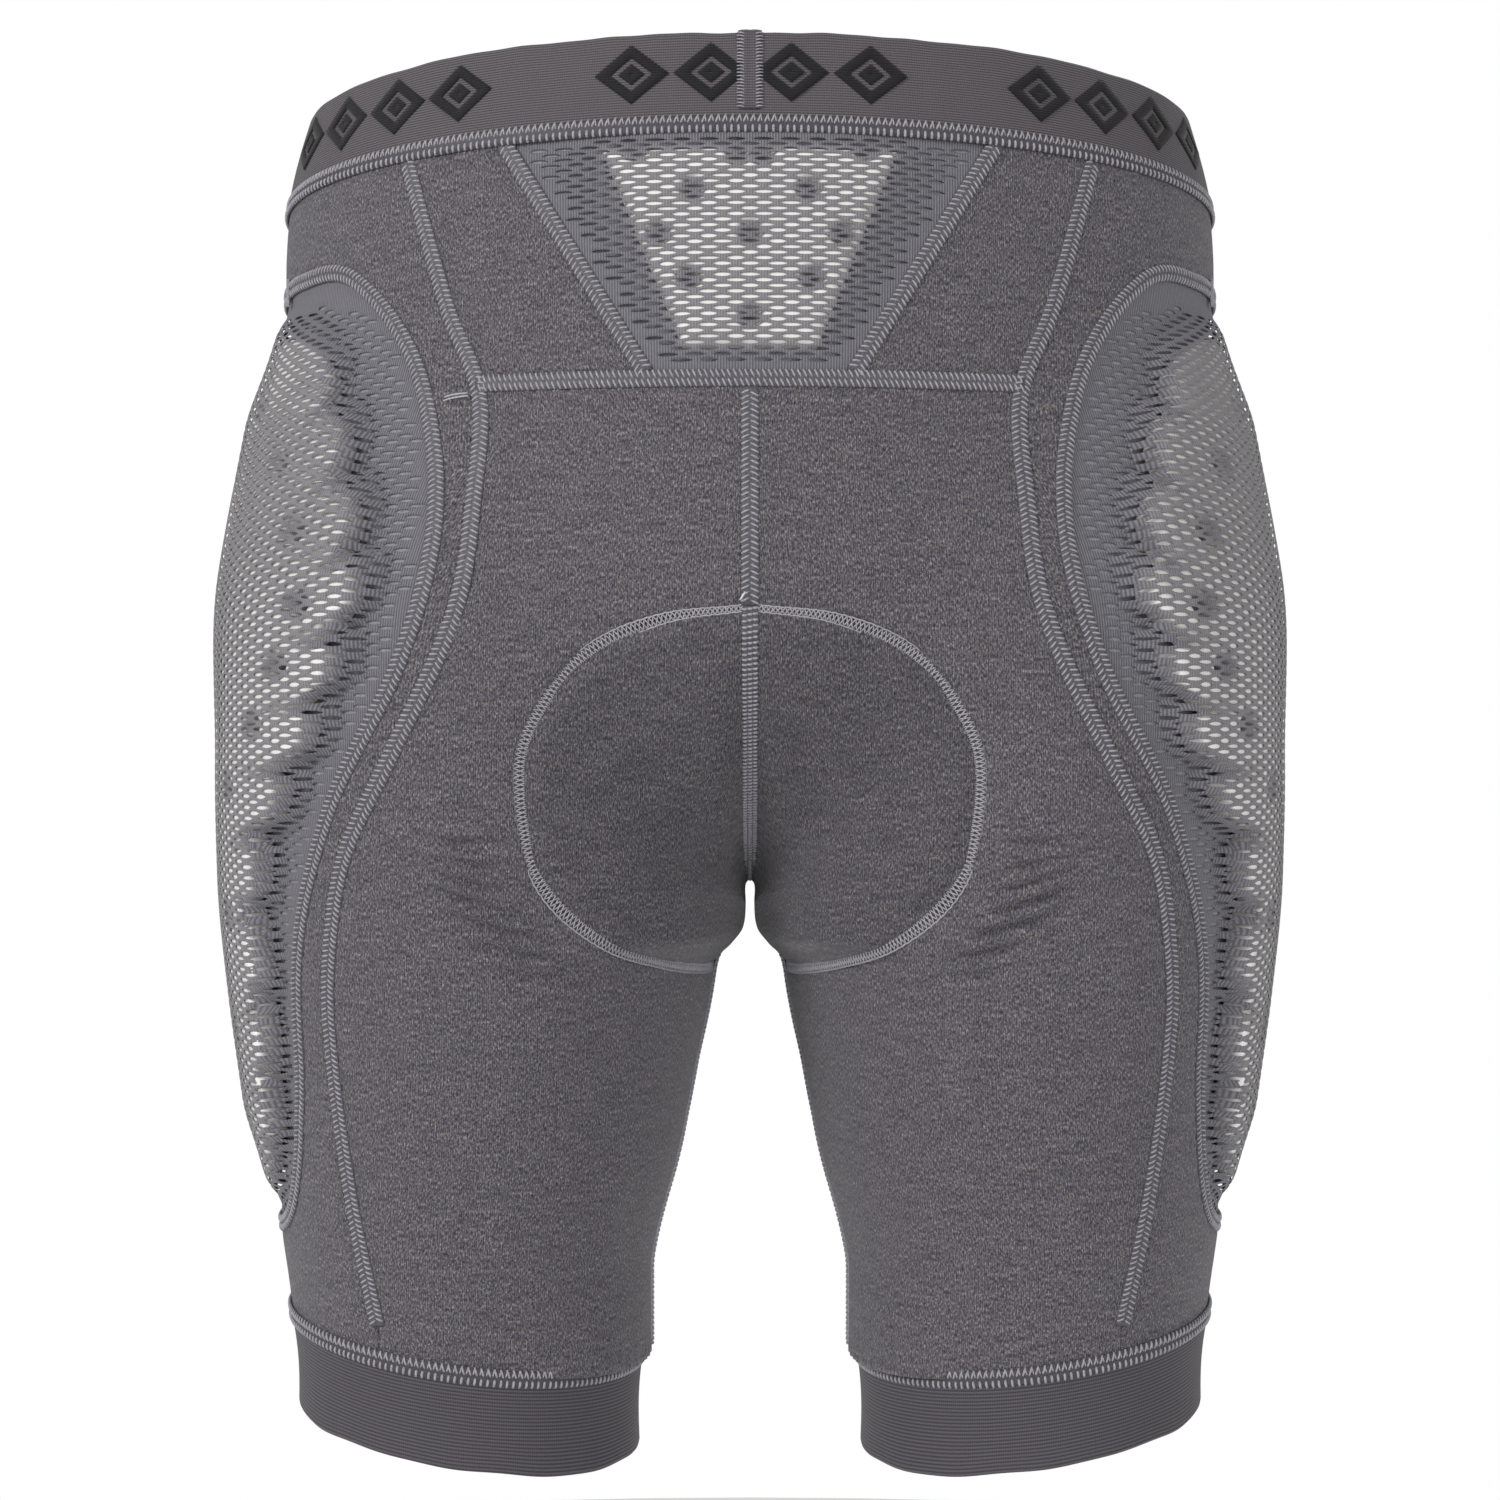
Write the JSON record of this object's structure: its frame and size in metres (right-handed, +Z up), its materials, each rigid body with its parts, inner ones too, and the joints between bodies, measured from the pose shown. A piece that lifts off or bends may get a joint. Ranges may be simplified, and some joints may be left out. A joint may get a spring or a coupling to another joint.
{
  "type": "padded impact shorts",
  "caption": "Close-fitting knee-length padded liner shorts with foam hip pads in mesh pockets, a tailbone pad, a seat pad and elastic bands, shaped as worn.",
  "frame": {"origin": "middle of the waist opening, level with the waist seam at the wearer's sides", "axes": "+Z up along the wearer, +Y to the wearer's front, +X to the wearer's right"},
  "size_m": [0.3902, 0.2422, 0.4937],
  "materials": {
    "jersey": "matte heather dark grey stretch jersey with fine vertical wales",
    "mesh": "open bluish grey stretch mesh with slit-shaped holes",
    "waist_elastic": null,
    "hem_elastic": "fine-ribbed dark warm grey elastic",
    "foam": "pale grey closed-cell impact foam, matte",
    "seat_foam": "grey open-cell seat pad foam, matte",
    "lining": "smooth dark lining fabric",
    "thread": "bluish grey polyester flatlock thread",
    "silicone": "satin printed silicone"
  },
  "bodies": {
    "shorts": {"back_yoke_right": "jersey", "back_yoke_left": "jersey", "back_panel_right": "jersey", "back_panel_left": "jersey", "front_panel_right": "jersey", "front_panel_left": "jersey", "side_panel_right": "jersey", "side_panel_left": "jersey", "tailbone_mesh": "mesh", "side_mesh_right": "mesh", "side_mesh_left": "mesh", "waistband": "waist_elastic", "waistband_join": "waist_elastic", "hem_band_right": "hem_elastic", "hem_band_left": "hem_elastic", "tailbone_pad": "foam", "seat_pad_foam": "seat_foam", "tailbone_lining": "lining", "seat_pad_face": "lining", "pocket_lining_right": "lining", "pocket_lining_left": "lining", "waist_seam": "thread", "yoke_seam": "thread", "centre_back_seam": "thread", "centre_front_seam": "thread", "tail_seam_right": "thread", "tail_seam_left": "thread", "back_seam_right": "thread", "back_seam_left": "thread", "front_seam_right": "thread", "front_seam_left": "thread", "mesh_seam_right": "thread", "mesh_seam_left": "thread", "seat_pad_seam_right": "thread", "seat_pad_seam_left": "thread", "inseam_right": "thread", "inseam_left": "thread", "hem_seam_right": "thread", "hem_seam_left": "thread", "pocket_tack_right": "thread", "pocket_tack_left": "thread", "hem_gripper_right": "silicone", "hem_gripper_left": "silicone"},
    "hip_pad_right": {"hip_pad_right": "foam"},
    "hip_pad_left": {"hip_pad_left": "foam"}
  },
  "joints": [
    {"name": "right_pad_slide", "type": "slide", "parent": "shorts", "child": "hip_pad_right", "axis": [0, 0, 1], "range_m": [0, 0.004]},
    {"name": "left_pad_slide", "type": "slide", "parent": "shorts", "child": "hip_pad_left", "axis": [0, 0, 1], "range_m": [0, 0.004]}
  ]
}
